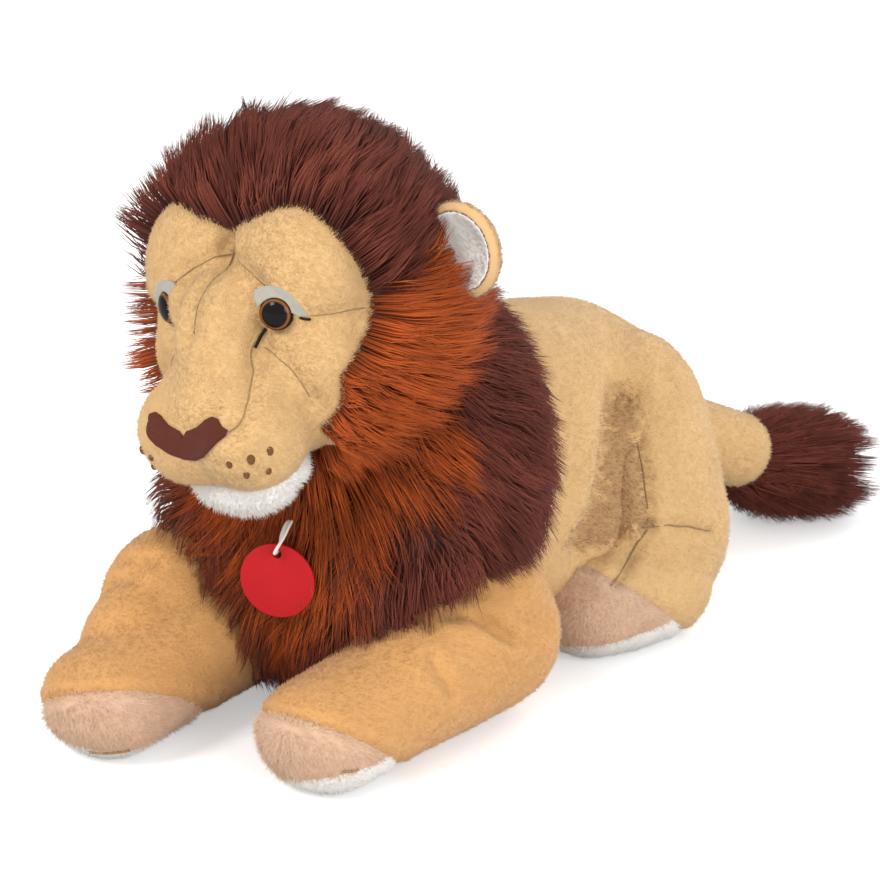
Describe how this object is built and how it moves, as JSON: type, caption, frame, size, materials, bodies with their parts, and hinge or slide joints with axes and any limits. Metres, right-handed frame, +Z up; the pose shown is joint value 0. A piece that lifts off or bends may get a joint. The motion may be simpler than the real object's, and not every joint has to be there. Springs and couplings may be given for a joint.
{
  "type": "plush lion",
  "caption": "Stuffed plush lion lying down with its head up, a long-pile mane, tufted tail, domed eyes and a round hang tag.",
  "frame": {"origin": "on the floor under the middle of the lion's overall box", "axes": "+Z up, the face looks toward -Y, the tail lies toward +Y, the lion's left side is +X"},
  "size_m": [0.236, 0.5928, 0.35],
  "materials": {
    "tan_plush": "short sheared plush",
    "paw_plush": "short pinkish beige plush",
    "white_plush": "short white plush",
    "dark_pile": "long dark brown pile",
    "rust_pile": "long rust orange pile",
    "nose_fabric": "dark brown velour",
    "felt": "grey felt",
    "eye_plastic": "polished amber and black",
    "washer_plastic": "moulded",
    "tag_plastic": "smooth red",
    "cord": "twisted white cord",
    "filling": "polyester fibre"
  },
  "bodies": {
    "torso": {"torso_cover": "tan_plush", "torso_filling": "filling", "mane_collar": "dark_pile", "mane_chest": "rust_pile"},
    "head": {"head_cover": "tan_plush", "head_filling": "filling", "chin_patch": "white_plush", "nose_patch": "nose_fabric", "eye_left": "eye_plastic", "eye_right": "eye_plastic", "eye_washer_left": "washer_plastic", "eye_washer_right": "washer_plastic", "eyelid_left": "felt", "eyelid_right": "felt", "mane_crown": "dark_pile", "mane_cheeks": "rust_pile"},
    "ear_left": {"ear_cover_left": "tan_plush", "ear_lining_left": "white_plush"},
    "ear_right": {"ear_cover_right": "tan_plush", "ear_lining_right": "white_plush"},
    "foreleg_left": {"foreleg_cover_left": "tan_plush", "foreleg_filling_left": "filling", "forepaw_panel_left": "paw_plush", "forepaw_sole_left": "white_plush"},
    "foreleg_right": {"foreleg_cover_right": "tan_plush", "foreleg_filling_right": "filling", "forepaw_panel_right": "paw_plush", "forepaw_sole_right": "white_plush"},
    "hindleg_left": {"hindleg_cover_left": "tan_plush", "hindleg_filling_left": "filling", "hindpaw_panel_left": "paw_plush", "hindpaw_sole_left": "white_plush"},
    "hindleg_right": {"hindleg_cover_right": "tan_plush", "hindleg_filling_right": "filling", "hindpaw_panel_right": "paw_plush", "hindpaw_sole_right": "white_plush"},
    "tail": {"tail_cover": "tan_plush", "tail_filling": "filling", "tail_tuft": "dark_pile"},
    "tag": {"tag_disc": "tag_plastic", "tag_cord": "cord"}
  },
  "joints": [
    {"name": "head_turn", "type": "hinge", "parent": "torso", "child": "head", "pos_m": [0, -0.15642, 0.25], "axis": [0, 0, 1], "range_deg": [-18, 18], "stiffness_Nm_per_rad": 1.5},
    {"name": "ear_left_fold", "type": "hinge", "parent": "head", "child": "ear_left", "pos_m": [0.06, -0.12842, 0.262], "axis": [0.6428, 0, -0.766], "range_deg": [-10, 10], "stiffness_Nm_per_rad": 0.05},
    {"name": "ear_right_fold", "type": "hinge", "parent": "head", "child": "ear_right", "pos_m": [-0.06, -0.12842, 0.262], "axis": [0.6428, 0, 0.766], "range_deg": [-10, 10], "stiffness_Nm_per_rad": 0.05},
    {"name": "foreleg_left_splay", "type": "hinge", "parent": "torso", "child": "foreleg_left", "pos_m": [0.066, -0.09042, 0.052], "axis": [0, 0, 1], "range_deg": [-3, 12], "stiffness_Nm_per_rad": 0.8},
    {"name": "foreleg_right_splay", "type": "hinge", "parent": "torso", "child": "foreleg_right", "pos_m": [-0.066, -0.09042, 0.052], "axis": [0, 0, 1], "range_deg": [-12, 3], "stiffness_Nm_per_rad": 0.8},
    {"name": "hindleg_left_swing", "type": "hinge", "parent": "torso", "child": "hindleg_left", "pos_m": [0.052, 0.07558, 0.092], "axis": [1, 0, 0], "range_deg": [-8, 0], "stiffness_Nm_per_rad": 1.2},
    {"name": "hindleg_right_swing", "type": "hinge", "parent": "torso", "child": "hindleg_right", "pos_m": [-0.052, 0.07558, 0.092], "axis": [1, 0, 0], "range_deg": [-8, 0], "stiffness_Nm_per_rad": 1.2},
    {"name": "tail_swing", "type": "hinge", "parent": "torso", "child": "tail", "pos_m": [0.004, 0.14758, 0.088], "axis": [0, 0, 1], "range_deg": [-15, 15], "stiffness_Nm_per_rad": 0.4},
    {"name": "tag_swing", "type": "hinge", "parent": "torso", "child": "tag", "pos_m": [0.01, -0.18442, 0.128], "axis": [0.3746, -0.9272, 0], "range_deg": [-15, 15]}
  ]
}
